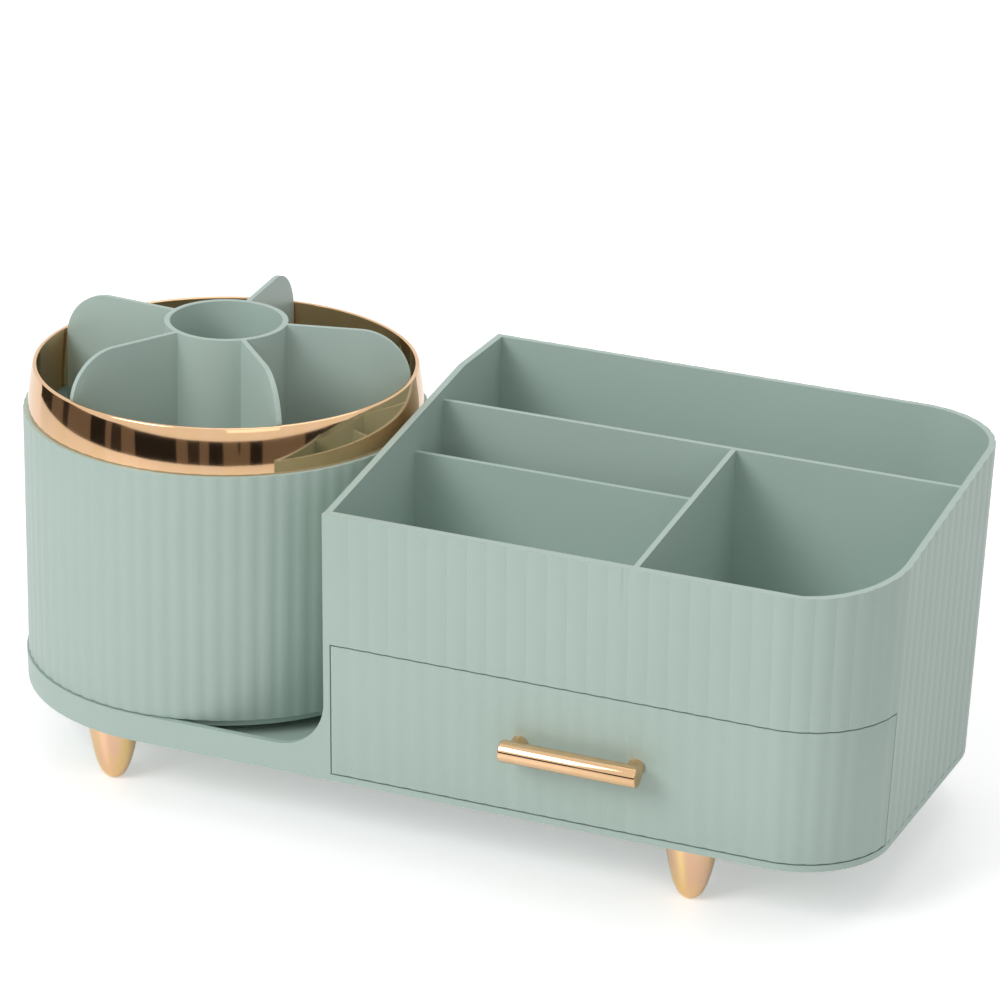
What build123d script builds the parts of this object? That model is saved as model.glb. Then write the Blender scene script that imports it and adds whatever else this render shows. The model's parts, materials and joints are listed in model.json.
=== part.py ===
"""Rotating makeup organizer: a tray with a turning brush drum beside a compartment box with one drawer.

Modelled in millimetres. While it is built, x runs from the tray's round end to the right, y from the front
face to the back and z up from the underside of the base. The finished pieces are moved together so that the
origin is at floor level under the middle of the whole organizer.
"""
from build123d import *
import math
import os

# ---------------------------------------------------------------- driving dimensions
# base and walls
BASE_LENGTH = 340.0
BASE_DEPTH = 144.0
CORNER_RADIUS = 32.5        # right-hand corners, at the underside
DRAFT_DEG = 2.0             # outward lean of the outer walls
WALL = 2.4
BASE_PLATE = 2.6            # thickness of the plate that closes the base
PLATE_CLEARANCE = 0.15
TRAY_FLOOR = 1.9
LIP_HEIGHT = 10.5
LIP_FILLET = 18.5           # where the lip rises into the box
RIM_FRONT = 100.4           # rim height at the front wall
RIM_BACK = 116.2            # rim height at the back wall
RIM_LEVEL_DEPTH = 112.0     # the side rims climb to this depth and then run level
SHELF_STEP = 0.6            # from the top of the drawer's opening to the shelf
SHELF = 2.4

# dividers in the box
DIVIDER = 2.0
RIGHT_ROOM = 83.0           # from the long divider to the right-hand end
LONG_DIVIDER_DROP = 1.4     # below the front rim
CROSS_DIVIDER_Y = 94.0
CROSS_DIVIDER_HEIGHT = 109.3
SHORT_DIVIDER_Y = 70.0
SHORT_DIVIDER_HEIGHT = 98.0

# flutes
BOX_FLUTE_PITCH = 7.3
BOX_FLUTE_DEPTH = 0.3
CORNER_FLUTES = 8
DRUM_FLUTE_DEPTH = 0.36
DRUM_FLUTES = 72

# drum
DRUM_SETBACK = 0.3          # from the tray's round end in to the drum's foot
DRUM_FLARE = 0.6            # how much wider the drum is at its top
DRUM_WALL_GAP = 0.5         # between the drum's top and the box's left wall
DRUM_LIFT = 0.3             # above the tray's lip
DRUM_HEIGHT = 91.8
DRUM_WALL = 2.3
DRUM_FLOOR = 2.2
RING_LEDGE = 1.6            # rim of the drum that shows round the ring
RING_TAPER = 2.1
RING_BULGE = 0.4            # how far the ring's side swells past a straight cone
RING_HEIGHT = 16.6
RING_WALL = 1.4
RING_SPIGOT = 6.0
RING_LIP_RADIUS = 0.5
SNUG = 0.1                  # clearance of parts that are pushed together

# turntable under the drum
TURNTABLE_GAP = 0.6         # inside the tray's lip
TURNTABLE_DISC = 1.8
TURNTABLE_SKIRT = 1.1
TURNTABLE_SKIRT_WALL = 2.2
SPINDLE_RADIUS = 10.0
SPINDLE_CLEARANCE = 0.08
SPINDLE_STAND = 0.2         # how far the spindle stands above the drum's floor
SPINDLE_HOLE_SPARE = 1.0
HUB_WALL = 3.0
HUB_FLOOR_GAP = 0.6
BALL_COUNT = 16
BALL_PITCH_RADIUS = 48.0
BALL_GROOVE = 0.25          # how deep each ball sits in its tracks
BALL_CLEARANCE = 0.05
CAGE_WIDTH = 8.0
CAGE_THICKNESS = 2.0
WASHER_RADIUS = 13.5
WASHER_THICKNESS = 1.2

# insert in the drum
TUBE_RADIUS = 22.0
TUBE_WALL = 2.0
TUBE_STAND = 15.2           # how far the tube stands above the ring
INSERT_GAP = 0.6            # inside the ring's mouth
INSERT_FLOOR = 2.0
FIN = 1.8
FIN_DEGS = (14.0, 95.0, 175.0, 242.0, 312.0)
FIN_CREST_RADIUS = 18.0     # rounding of each fin's outer top corner
HUMP_GAP = 1.0              # round the spindle's washer
HUMP_WALL = 1.5

# drawer
FRONT_STRIP = 2.5           # shell left of the drawer, measured on the front
BASE_STRIP = 2.4            # shell below the drawer
OPENING_TOP = 52.0
SEAM = 0.5
CORNER_LEFT = 3.5           # part of the corner's radius that stays with the shell beside the drawer's front
FRONT_PANEL = 2.6
DRAWER_WALL = 2.0
DRAWER_FLOOR = 2.0
DRAWER_SIDE_GAP = 3.0       # from the drawer's side to the shell's inner wall
DRAWER_BACK_GAP = 1.8
DRAWER_TOP_GAP = 0.9        # below the stop rib
RUN_CLEARANCE = 0.1
RAIL_WIDTH = 9.0
RAIL_THICKNESS = 1.4
RAIL_FENCE = 1.8
RAIL_FENCE_HEIGHT = 8.0
RAIL_SETBACK = 1.2          # behind the end of the drawer's front
RAIL_OVERRUN = 4.0          # past the start of the back corner
RAIL_SCREW_INSET = 12.0
STOP_SETBACK = 7.8          # from the rails' front ends to the stop rib
STOP_RIB = 2.0
STOP_RIB_DROP = 3.0
STOP_TAB_WIDTH = 14.0
STOP_TAB_THICKNESS = 2.0
STOP_TAB_INSET = 46.0       # from the drawer's sides to the middle of each tab

# handle
HANDLE_OFFSET = 11.9        # right of the middle of the flat front
HANDLE_Z = 28.3
HANDLE_LENGTH = 50.0
HANDLE_RADIUS = 3.85
HANDLE_GAP = 3.5
POST_RADIUS = 3.4
POST_INSET = 3.8            # from the bar's end to the middle of a post
HANDLE_EDGE = 0.5

# feet
FOOT_HEIGHT = 22.0
FOOT_TOP_RADIUS = 9.4
FOOT_WAIST_RADIUS = 6.7
FOOT_WAIST_HEIGHT = 8.1
FOOT_TIP_RADIUS = 1.5       # the flat that stands on the floor
FOOT_INSET = 11.5
LEFT_FOOT_X = 56.0
RIGHT_FOOT_INSET = 63.0

# screws
SCREW_RADIUS = 1.5
SCREW_HEAD_RADIUS = 3.0
SCREW_HEAD = 1.6
HOLE_SPARE = 0.5            # how much deeper a blind hole is than its screw
BOSS_RADIUS = 3.6
BOSS_GAP = 3.4              # beside the ball cage
BOSS_END_GAP = 1.3          # between a boss and the turning or still face before it
BACK_BOSS_HEIGHT = 12.0
BACK_BOSS_GAP = 1.2         # between a screw's head and the shell's wall
FOOT_SCREW_LENGTH = 12.0
BASE_SCREW_LENGTH = 5.0
RAIL_SCREW_LENGTH = 3.6
DRUM_SCREW_LENGTH = 5.0
HANDLE_SCREW_LENGTH = 10.0
SPINDLE_SCREW_RADIUS = 2.0
SPINDLE_HEAD_RADIUS = 4.2
SPINDLE_HEAD = 2.4

# ---------------------------------------------------------------- worked-out places
LEAN = math.tan(math.radians(DRAFT_DEG))
END_RADIUS = BASE_DEPTH / 2
DRUM_X = END_RADIUS
DRUM_Y = END_RADIUS
DRUM_FOOT_RADIUS = END_RADIUS - DRUM_SETBACK
DRUM_TOP_RADIUS = DRUM_FOOT_RADIUS + DRUM_FLARE
DRUM_BORE = DRUM_FOOT_RADIUS - DRUM_WALL
DRUM_BOTTOM = LIP_HEIGHT + DRUM_LIFT
DRUM_TOP = DRUM_BOTTOM + DRUM_HEIGHT
DRUM_FLOOR_TOP = DRUM_BOTTOM + DRUM_FLOOR
SPIGOT_BORE = DRUM_BORE - SNUG - RING_WALL
RING_FOOT_RADIUS = DRUM_TOP_RADIUS - RING_LEDGE
RING_TOP_RADIUS = RING_FOOT_RADIUS - RING_TAPER
RING_MOUTH = RING_TOP_RADIUS - RING_WALL
RING_TOP = DRUM_TOP + RING_HEIGHT
INSERT_RADIUS = RING_MOUTH - INSERT_GAP
TUBE_HEIGHT = RING_TOP + TUBE_STAND - DRUM_FLOOR_TOP
TURNTABLE_RADIUS = END_RADIUS - WALL - TURNTABLE_GAP

BOX_X = DRUM_X + DRUM_TOP_RADIUS + DRUM_WALL_GAP
CORNER_X = BASE_LENGTH - CORNER_RADIUS
BACK_CORNER_Y = BASE_DEPTH - CORNER_RADIUS
LONG_DIVIDER_X = BASE_LENGTH - RIGHT_ROOM
TRAY_TOP = BASE_PLATE + TRAY_FLOOR
SHELF_UNDERSIDE = OPENING_TOP + SHELF_STEP
SHELF_TOP = SHELF_UNDERSIDE + SHELF
OPENING_X = BOX_X + FRONT_STRIP
OPENING_Y = CORNER_RADIUS - CORNER_LEFT

DISC_UNDERSIDE = DRUM_BOTTOM - TURNTABLE_DISC
SPINDLE_TOP = DRUM_FLOOR_TOP + SPINDLE_STAND
BALL_Z = (TRAY_TOP + DISC_UNDERSIDE) / 2
BALL_RADIUS = (DISC_UNDERSIDE - TRAY_TOP) / 2 + BALL_GROOVE
CAGE_INNER = BALL_PITCH_RADIUS - CAGE_WIDTH / 2
CAGE_OUTER = BALL_PITCH_RADIUS + CAGE_WIDTH / 2
DRUM_SCREW_CIRCLE = CAGE_INNER - BOSS_GAP - BOSS_RADIUS
TRAY_SCREW_CIRCLE = CAGE_OUTER + BOSS_GAP + BOSS_RADIUS

BACK_BOSS_Y = BASE_DEPTH - WALL - BACK_BOSS_GAP - SCREW_HEAD_RADIUS
BACK_BOSS_XS = (BOX_X + 4 * BOSS_RADIUS, (BOX_X + CORNER_X) / 2, CORNER_X - BOSS_RADIUS)
RAIL_TOP = BASE_PLATE + RAIL_THICKNESS
RAIL_START_Y = OPENING_Y + RAIL_SETBACK
RAIL_END_Y = BACK_CORNER_Y + RAIL_OVERRUN
DRAWER_UNDERSIDE = RAIL_TOP + RUN_CLEARANCE
DRAWER_BOX_TOP = SHELF_UNDERSIDE - STOP_RIB_DROP - DRAWER_TOP_GAP
DRAWER_LEFT_X = BOX_X + WALL + DRAWER_SIDE_GAP
DRAWER_RIGHT_X = BASE_LENGTH - WALL - DRAWER_SIDE_GAP
DRAWER_BACK_Y = BACK_BOSS_Y - BOSS_RADIUS - DRAWER_BACK_GAP
STOP_RIB_Y = RAIL_START_Y + STOP_SETBACK
DRAWER_TRAVEL = DRAWER_BACK_Y - STOP_TAB_THICKNESS - STOP_RIB_Y - STOP_RIB
HANDLE_X = (OPENING_X + CORNER_X) / 2 + HANDLE_OFFSET
FACE_Y = -LEAN * HANDLE_Z   # the drawer's face at the handle's height
BAR_Y = FACE_Y - HANDLE_GAP - HANDLE_RADIUS
TALL = 3 * RIM_BACK         # longer than anything it cuts

LEFT_FOOT_Y = END_RADIUS - math.sqrt((END_RADIUS - FOOT_INSET) ** 2 - (LEFT_FOOT_X - END_RADIUS) ** 2)
RIGHT_FOOT_X = BASE_LENGTH - RIGHT_FOOT_INSET
FEET = {
    "foot_front_left": (LEFT_FOOT_X, LEFT_FOOT_Y),
    "foot_back_left": (LEFT_FOOT_X, BASE_DEPTH - LEFT_FOOT_Y),
    "foot_front_right": (RIGHT_FOOT_X, FOOT_INSET),
    "foot_back_right": (RIGHT_FOOT_X, BASE_DEPTH - FOOT_INSET),
}
TRAY_SCREW_DEGS = (90.0, 210.0, 330.0)


# ---------------------------------------------------------------- shared shapes
def block(x0, x1, y0, y1, z0, z1):
    """A box between two corners."""
    return Pos((x0 + x1) / 2, (y0 + y1) / 2, (z0 + z1) / 2) * Box(x1 - x0, y1 - y0, z1 - z0)


def disc(x, y, z0, z1, radius):
    """An upright cylinder between two heights."""
    return Pos(x, y, (z0 + z1) / 2) * Cylinder(radius, z1 - z0)


def polar(x, y, radius, degrees):
    """A point on a circle, counted from +X."""
    turn = math.radians(degrees)
    return x + radius * math.cos(turn), y + radius * math.sin(turn)


def joined(solids):
    """Several overlapping solids as one."""
    first, *others = solids
    return first + others if others else first


def group(pieces):
    """Several separate solids that share one node."""
    return Compound(children=list(pieces))


def plan_face(inset):
    """The organizer's plan, moved inwards by an inset: a half-round left end and two round right corners."""
    corner = CORNER_RADIUS - inset
    side_x = BASE_LENGTH - inset
    edges = [
        Line((END_RADIUS, inset), (CORNER_X, inset)),
        CenterArc((CORNER_X, CORNER_RADIUS), corner, -90, 90),
        Line((side_x, CORNER_RADIUS), (side_x, BACK_CORNER_Y)),
        CenterArc((CORNER_X, BACK_CORNER_Y), corner, 0, 90),
        Line((CORNER_X, BASE_DEPTH - inset), (END_RADIUS, BASE_DEPTH - inset)),
        CenterArc((END_RADIUS, END_RADIUS), END_RADIUS - inset, 90, 180),
    ]
    return make_face(Curve() + edges)


def leaning_plan(inset, z0, z1):
    """The plan between two heights, leaning outwards like the outer walls."""
    face = Pos(0, 0, z0) * plan_face(inset - LEAN * z0)
    return extrude(face, z1 - z0, taper=-DRAFT_DEG)


def straight_run(start, end, normal):
    """Places along a straight wall: by their share of its length, sunk below its crests."""
    def place(share, sunk):
        return tuple(a + share * (b - a) - sunk * n for a, b, n in zip(start, end, normal))
    return place


def round_run(x, y, radius, first_deg, sweep_deg):
    """Places along a round wall, in the same way."""
    def place(share, sunk):
        return polar(x, y, radius - sunk, first_deg + share * sweep_deg)
    return place


def reeds(place, count, depth, z, flush_end=None):
    """A row of shallow reeds: each is an arc from groove to groove over its crest. A flush end has no groove."""
    arcs = []
    for index in range(count):
        start, end = (place(step / count, 0 if step == flush_end else depth) for step in (index, index + 1))
        crest = place((index + 0.5) / count, 0)
        arcs.append(ThreePointArc((*start, z), (*crest, z), (*end, z)))
    return arcs


def box_outline(z):
    """Fluted outline of the box at a height: front, corner, side, corner, back and a straight left side."""
    out = LEAN * z
    radius = CORNER_RADIUS + out
    side_x = BASE_LENGTH + out
    front_count = round((CORNER_X - OPENING_X) / BOX_FLUTE_PITCH)
    side_count = round((BACK_CORNER_Y - CORNER_RADIUS) / BOX_FLUTE_PITCH)
    back_y = BASE_DEPTH + out
    front = straight_run((OPENING_X, -out), (CORNER_X, -out), (0, -1))
    side = straight_run((side_x, CORNER_RADIUS), (side_x, BACK_CORNER_Y), (1, 0))
    back = straight_run((CORNER_X, back_y), (OPENING_X, back_y), (0, 1))
    arcs = reeds(front, front_count, BOX_FLUTE_DEPTH, z, flush_end=0)
    arcs += reeds(round_run(CORNER_X, CORNER_RADIUS, radius, -90, 90), CORNER_FLUTES, BOX_FLUTE_DEPTH, z)
    arcs += reeds(side, side_count, BOX_FLUTE_DEPTH, z)
    arcs += reeds(round_run(CORNER_X, BACK_CORNER_Y, radius, 0, 90), CORNER_FLUTES, BOX_FLUTE_DEPTH, z)
    arcs += reeds(back, front_count, BOX_FLUTE_DEPTH, z, flush_end=front_count)
    return Wire(arcs + [Line(arcs[-1] @ 1, arcs[0] @ 0)])


def fluted_box(z0, z1):
    """Solid of the fluted walls between two heights."""
    return Solid.make_loft([box_outline(z0), box_outline(z1)], ruled=True)


def screw(length, radius=SCREW_RADIUS, head_radius=SCREW_HEAD_RADIUS, head=SCREW_HEAD):
    """A countersunk screw that points down from its flat head at z = 0."""
    flat = Pos(0, 0, -head / 2) * Cone(radius, head_radius, head)
    return flat + Pos(0, 0, -length / 2) * Cylinder(radius, length)


def screw_up(x, y, z, length):
    """A countersunk screw with its head facing down at a height."""
    return Pos(x, y, z) * Rot(180, 0, 0) * screw(length)


# ---------------------------------------------------------------- body
def body_shell():
    """One moulding: tray lip and floor, box walls, compartment shelf and dividers."""
    over = RIM_BACK + WALL
    smooth = leaning_plan(0, 0, over)
    left_part = smooth & block(-WALL, OPENING_X, -BASE_DEPTH, 2 * BASE_DEPTH, 0, TALL)
    left_part -= lip_cutter()
    skirt = smooth & block(OPENING_X, 2 * BASE_LENGTH, -BASE_DEPTH, 2 * BASE_DEPTH, 0, BASE_STRIP)
    shell = left_part + skirt + fluted_box(BASE_STRIP, over)

    room = block(BOX_X + WALL, 2 * BASE_LENGTH, 0, BASE_DEPTH + WALL, 0, TALL)
    tray = block(-WALL, BOX_X, -BASE_DEPTH, 2 * BASE_DEPTH, 0, TALL)
    shell -= leaning_plan(WALL, SHELF_TOP, over + WALL) & room
    shell -= leaning_plan(WALL, BASE_PLATE, SHELF_UNDERSIDE) & room
    shell -= leaning_plan(WALL, TRAY_TOP, LIP_HEIGHT + LIP_FILLET + WALL) & tray
    shell -= leaning_plan(WALL, 0, BASE_PLATE)
    shell -= block(OPENING_X, 2 * BASE_LENGTH, -BASE_DEPTH, OPENING_Y, BASE_STRIP, OPENING_TOP)
    shell += [dividers(), stop_rib(), spindle(), shell_bosses()]
    shell -= rim_cutter()
    shell -= ball_track(TRAY_TOP)
    return shell - joined(disc(x, y, BASE_PLATE, BASE_SCREW_LENGTH + HOLE_SPARE, SCREW_RADIUS)
                          for x, y in base_screw_places())


def rim_cutter():
    """Everything above the rim: low at the front, climbing to the back, then level."""
    outline = Polyline(
        (0, -BASE_DEPTH, RIM_FRONT),
        (0, 0, RIM_FRONT),
        (0, RIM_LEVEL_DEPTH, RIM_BACK),
        (0, 2 * BASE_DEPTH, RIM_BACK),
        (0, 2 * BASE_DEPTH, TALL),
        (0, -BASE_DEPTH, TALL),
        close=True,
    )
    return Pos(-BASE_LENGTH, 0, 0) * extrude(make_face(outline), 3 * BASE_LENGTH, dir=(1, 0, 0))


def lip_cutter():
    """Everything above the tray's lip, with the round rise into the box's left wall."""
    low_x = BOX_X - LIP_FILLET
    high_z = LIP_HEIGHT + LIP_FILLET
    edges = [
        Line((-BASE_LENGTH, LIP_HEIGHT), (low_x, LIP_HEIGHT)),
        CenterArc((low_x, high_z), LIP_FILLET, -90, 90),
        Line((BOX_X, high_z), (BOX_X, TALL)),
        Line((BOX_X, TALL), (-BASE_LENGTH, TALL)),
        Line((-BASE_LENGTH, TALL), (-BASE_LENGTH, LIP_HEIGHT)),
    ]
    face = Plane.XZ * make_face(Curve() + edges)
    return Pos(0, 2 * BASE_DEPTH, 0) * extrude(face, 3 * BASE_DEPTH, dir=(0, -1, 0))


def inner_plan(z0, z1):
    """Room inside the box walls, with a little bite into them so that what fills it joins them."""
    bite = WALL / 2
    room = block(BOX_X + bite, 2 * BASE_LENGTH, 0, BASE_DEPTH + bite, 0, TALL)
    return leaning_plan(bite, z0, z1) & room


def dividers():
    """The long divider climbs to the back; the cross divider and the short one run level."""
    half = DIVIDER / 2
    slope_outline = Polyline(
        (0, 0, SHELF_UNDERSIDE),
        (0, 0, RIM_FRONT - LONG_DIVIDER_DROP),
        (0, CROSS_DIVIDER_Y, CROSS_DIVIDER_HEIGHT),
        (0, CROSS_DIVIDER_Y, SHELF_UNDERSIDE),
        close=True,
    )
    long_one = Pos(LONG_DIVIDER_X - half, 0, 0) * extrude(make_face(slope_outline), DIVIDER, dir=(1, 0, 0))
    cross_one = block(BOX_X, 2 * BASE_LENGTH, CROSS_DIVIDER_Y - half, CROSS_DIVIDER_Y + half,
                      SHELF_UNDERSIDE, CROSS_DIVIDER_HEIGHT)
    short_one = block(BOX_X, LONG_DIVIDER_X, SHORT_DIVIDER_Y - half, SHORT_DIVIDER_Y + half,
                      SHELF_UNDERSIDE, SHORT_DIVIDER_HEIGHT)
    return (long_one + cross_one + short_one) & inner_plan(SHELF_UNDERSIDE, RIM_BACK)


def stop_rib():
    """Rib under the shelf that the drawer's tabs meet when it is fully out."""
    return block(BOX_X + WALL / 2, DRAWER_RIGHT_X - WALL, STOP_RIB_Y, STOP_RIB_Y + STOP_RIB,
                 SHELF_UNDERSIDE - STOP_RIB_DROP, SHELF_TOP - SHELF / 2)


def spindle():
    """Round post in the middle of the tray that the drum turns on, with a bore for its screw."""
    post = disc(DRUM_X, DRUM_Y, BASE_PLATE, SPINDLE_TOP, SPINDLE_RADIUS)
    return post - disc(DRUM_X, DRUM_Y, TRAY_TOP - SPINDLE_HOLE_SPARE, SPINDLE_TOP, SPINDLE_SCREW_RADIUS)


def shell_bosses():
    """Bosses that the base screws bite into: three in the tray and three along the back wall."""
    back_top = BASE_PLATE + BACK_BOSS_HEIGHT
    solids = []
    for degrees in TRAY_SCREW_DEGS:
        x, y = polar(DRUM_X, DRUM_Y, TRAY_SCREW_CIRCLE, degrees)
        solids.append(disc(x, y, BASE_PLATE, DISC_UNDERSIDE - BOSS_END_GAP, BOSS_RADIUS))
    for x in BACK_BOSS_XS:
        boss = disc(x, BACK_BOSS_Y, BASE_PLATE, back_top, BOSS_RADIUS)
        web = block(x - BOSS_RADIUS / 2, x + BOSS_RADIUS / 2, BACK_BOSS_Y, BASE_DEPTH - WALL / 2,
                    BASE_PLATE, back_top)
        solids.append(boss + web)
    return joined(solids)


def base_screw_places():
    """Plan places of the screws that hold the base plate."""
    tray = [polar(DRUM_X, DRUM_Y, TRAY_SCREW_CIRCLE, degrees) for degrees in TRAY_SCREW_DEGS]
    return tray + [(x, BACK_BOSS_Y) for x in BACK_BOSS_XS]


def ball_track(z):
    """Round groove for the balls, to be cut into a flat face at a height."""
    path = Pos(DRUM_X, DRUM_Y, BALL_Z) * Torus(BALL_PITCH_RADIUS, BALL_RADIUS + BALL_CLEARANCE)
    return path & disc(DRUM_X, DRUM_Y, z - BALL_RADIUS / 2, z + BALL_RADIUS / 2, CAGE_OUTER)


def base_plate():
    """Flat plate that closes the shell from below and carries the feet and the drawer's rails."""
    plate = extrude(plan_face(WALL + PLATE_CLEARANCE), BASE_PLATE)
    for x, y in base_screw_places():
        plate -= screw_up(x, y, 0, TALL)
    for x, y in list(FEET.values()) + rail_screw_places():
        plate -= Pos(x, y, BASE_PLATE) * screw(TALL)
    return plate


def base_screws():
    """Screws from below into the shell's bosses."""
    return group(screw_up(x, y, 0, BASE_SCREW_LENGTH) for x, y in base_screw_places())


def foot(x, y):
    """Foot shaped like a bullet with a small flat on its tip, and a bore for its screw."""
    tip, waist, top = ((radius, height - FOOT_HEIGHT) for radius, height in (
        (FOOT_TIP_RADIUS, 0), (FOOT_WAIST_RADIUS, FOOT_WAIST_HEIGHT), (FOOT_TOP_RADIUS, FOOT_HEIGHT)))
    outline = Curve() + [ThreePointArc(tip, waist, top), Polyline(top, (0, 0), (0, -FOOT_HEIGHT), tip)]
    body = Pos(x, y, 0) * revolve(Plane.XZ * make_face(outline), Axis.Z)
    return body - disc(x, y, BASE_PLATE - FOOT_SCREW_LENGTH - HOLE_SPARE, 0, SCREW_RADIUS)


def foot_screws():
    """Screws down through the base plate into the feet."""
    return group(Pos(x, y, BASE_PLATE) * screw(FOOT_SCREW_LENGTH) for x, y in FEET.values())


# ---------------------------------------------------------------- drum
def drum_shell():
    """Fluted cup, a little wider at the top, with a smooth bore and a hole for the spindle."""
    outlines = []
    for z, radius in ((DRUM_BOTTOM, DRUM_FOOT_RADIUS), (DRUM_TOP, DRUM_TOP_RADIUS)):
        round_wall = round_run(DRUM_X, DRUM_Y, radius, 0, 360)
        outlines.append(Wire(reeds(round_wall, DRUM_FLUTES, DRUM_FLUTE_DEPTH, z)))
    cup = Solid.make_loft(outlines, ruled=True)
    cup -= disc(DRUM_X, DRUM_Y, DRUM_FLOOR_TOP, TALL, DRUM_BORE)
    cup -= disc(DRUM_X, DRUM_Y, 0, TALL, SPINDLE_RADIUS + SPINDLE_CLEARANCE)
    for x, y in drum_screw_places():
        cup -= Pos(x, y, DRUM_FLOOR_TOP) * screw(TALL)
    return cup


def drum_screw_places():
    """Plan places of the screws that hold the turntable under the drum."""
    return [polar(DRUM_X, DRUM_Y, DRUM_SCREW_CIRCLE, 45 + 90 * index) for index in range(4)]


def turntable():
    """Disc under the drum with a hub, a skirt, the upper ball track and bosses for its screws."""
    skirt_z = DISC_UNDERSIDE - TURNTABLE_SKIRT
    table = disc(DRUM_X, DRUM_Y, skirt_z, DRUM_BOTTOM, TURNTABLE_RADIUS)
    table -= disc(DRUM_X, DRUM_Y, skirt_z, DISC_UNDERSIDE, TURNTABLE_RADIUS - TURNTABLE_SKIRT_WALL)
    table += disc(DRUM_X, DRUM_Y, TRAY_TOP + HUB_FLOOR_GAP, DRUM_BOTTOM, SPINDLE_RADIUS + HUB_WALL)
    for x, y in drum_screw_places():
        table += disc(x, y, TRAY_TOP + BOSS_END_GAP, DRUM_BOTTOM, BOSS_RADIUS)
    table -= disc(DRUM_X, DRUM_Y, 0, TALL, SPINDLE_RADIUS + SPINDLE_CLEARANCE)
    for x, y in drum_screw_places():
        table -= disc(x, y, DRUM_FLOOR_TOP - DRUM_SCREW_LENGTH - HOLE_SPARE, DRUM_BOTTOM, SCREW_RADIUS)
    return table - ball_track(DISC_UNDERSIDE)


def drum_screws():
    """Screws down through the drum's floor into the turntable."""
    return group(Pos(x, y, DRUM_FLOOR_TOP) * screw(DRUM_SCREW_LENGTH) for x, y in drum_screw_places())


def ball_places():
    """Centres of the balls, evenly round their track."""
    return [polar(DRUM_X, DRUM_Y, BALL_PITCH_RADIUS, 360 * index / BALL_COUNT) for index in range(BALL_COUNT)]


def ball_cage():
    """Flat ring that keeps the balls apart."""
    low = BALL_Z - CAGE_THICKNESS / 2
    high = BALL_Z + CAGE_THICKNESS / 2
    ring = disc(DRUM_X, DRUM_Y, low, high, CAGE_OUTER) - disc(DRUM_X, DRUM_Y, low, high, CAGE_INNER)
    for x, y in ball_places():
        ring -= disc(x, y, low, high, BALL_RADIUS + BALL_CLEARANCE)
    return ring


def bearing_balls():
    """Steel balls between the tray and the turntable."""
    return group(Pos(x, y, BALL_Z) * Sphere(BALL_RADIUS) for x, y in ball_places())


def spindle_washer():
    """Washer on the spindle that keeps the drum from lifting off."""
    washer = disc(DRUM_X, DRUM_Y, SPINDLE_TOP, SPINDLE_TOP + WASHER_THICKNESS, WASHER_RADIUS)
    return washer - disc(DRUM_X, DRUM_Y, 0, TALL, SPINDLE_SCREW_RADIUS + SNUG)


def spindle_screw():
    """Pan-head screw down into the spindle."""
    seat = SPINDLE_TOP + WASHER_THICKNESS
    head = disc(DRUM_X, DRUM_Y, seat, seat + SPINDLE_HEAD, SPINDLE_HEAD_RADIUS)
    head = fillet(head.edges().group_by(Axis.Z)[-1], SPINDLE_HEAD / 3)
    return head + disc(DRUM_X, DRUM_Y, TRAY_TOP, seat, SPINDLE_SCREW_RADIUS)


def gold_ring():
    """Plated band on the drum's rim, a little barrel-shaped, with a spigot that fits inside the drum's wall."""
    foot = (RING_FOOT_RADIUS, DRUM_TOP)
    swell = ((RING_FOOT_RADIUS + RING_TOP_RADIUS) / 2 + RING_BULGE, DRUM_TOP + RING_HEIGHT / 2)
    top = (RING_TOP_RADIUS, RING_TOP)
    mouth = (RING_MOUTH, RING_TOP)
    bore = (SPIGOT_BORE, DRUM_TOP)
    bore_end = (SPIGOT_BORE, DRUM_TOP - RING_SPIGOT)
    spigot_end = (DRUM_BORE - SNUG, DRUM_TOP - RING_SPIGOT)
    shoulder = (DRUM_BORE - SNUG, DRUM_TOP)
    inside = Polyline(top, mouth, bore, bore_end, spigot_end, shoulder, foot)
    profile = Plane.XZ * make_face(Curve() + [ThreePointArc(foot, swell, top), *inside.edges()])
    band = revolve(profile, Axis.Z)
    band = fillet(band.edges().group_by(Axis.Z)[-1], RING_LIP_RADIUS)
    return Pos(DRUM_X, DRUM_Y, 0) * band


def upright(radius, height):
    """A cylinder that stands on z = 0 round the Z axis."""
    return Cylinder(radius, height, align=(Align.CENTER, Align.CENTER, Align.MIN))


def divider_insert():
    """Round floor, centre tube and fins that drop into the drum, with a hump over the spindle."""
    hump_radius = WASHER_RADIUS + HUMP_GAP
    hump_room = SPINDLE_STAND + WASHER_THICKNESS + SPINDLE_HEAD + SNUG
    solids = [upright(INSERT_RADIUS, INSERT_FLOOR), upright(TUBE_RADIUS, TUBE_HEIGHT)]
    solids += [Rot(0, 0, degrees) * fin() for degrees in FIN_DEGS]
    insert = joined(solids) - Pos(0, 0, INSERT_FLOOR) * upright(TUBE_RADIUS - TUBE_WALL, TUBE_HEIGHT)
    insert += upright(hump_radius + HUMP_WALL, hump_room + HUMP_WALL)
    insert -= upright(hump_radius, hump_room)
    return Pos(DRUM_X, DRUM_Y, DRUM_FLOOR_TOP) * insert


def fin():
    """One fin along +X: level at the tube's height, then rounded down to the ring."""
    start = TUBE_RADIUS - TUBE_WALL / 2
    crest_x = INSERT_RADIUS - FIN_CREST_RADIUS
    crest_z = TUBE_HEIGHT - FIN_CREST_RADIUS
    edges = [
        Line((start, 0), (INSERT_RADIUS, 0)),
        Line((INSERT_RADIUS, 0), (INSERT_RADIUS, crest_z)),
        CenterArc((crest_x, crest_z), FIN_CREST_RADIUS, 0, 90),
        Line((crest_x, TUBE_HEIGHT), (start, TUBE_HEIGHT)),
        Line((start, TUBE_HEIGHT), (start, 0)),
    ]
    face = Plane.XZ * make_face(Curve() + edges)
    return Pos(0, FIN / 2, 0) * extrude(face, FIN, dir=(0, -1, 0))


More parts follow.
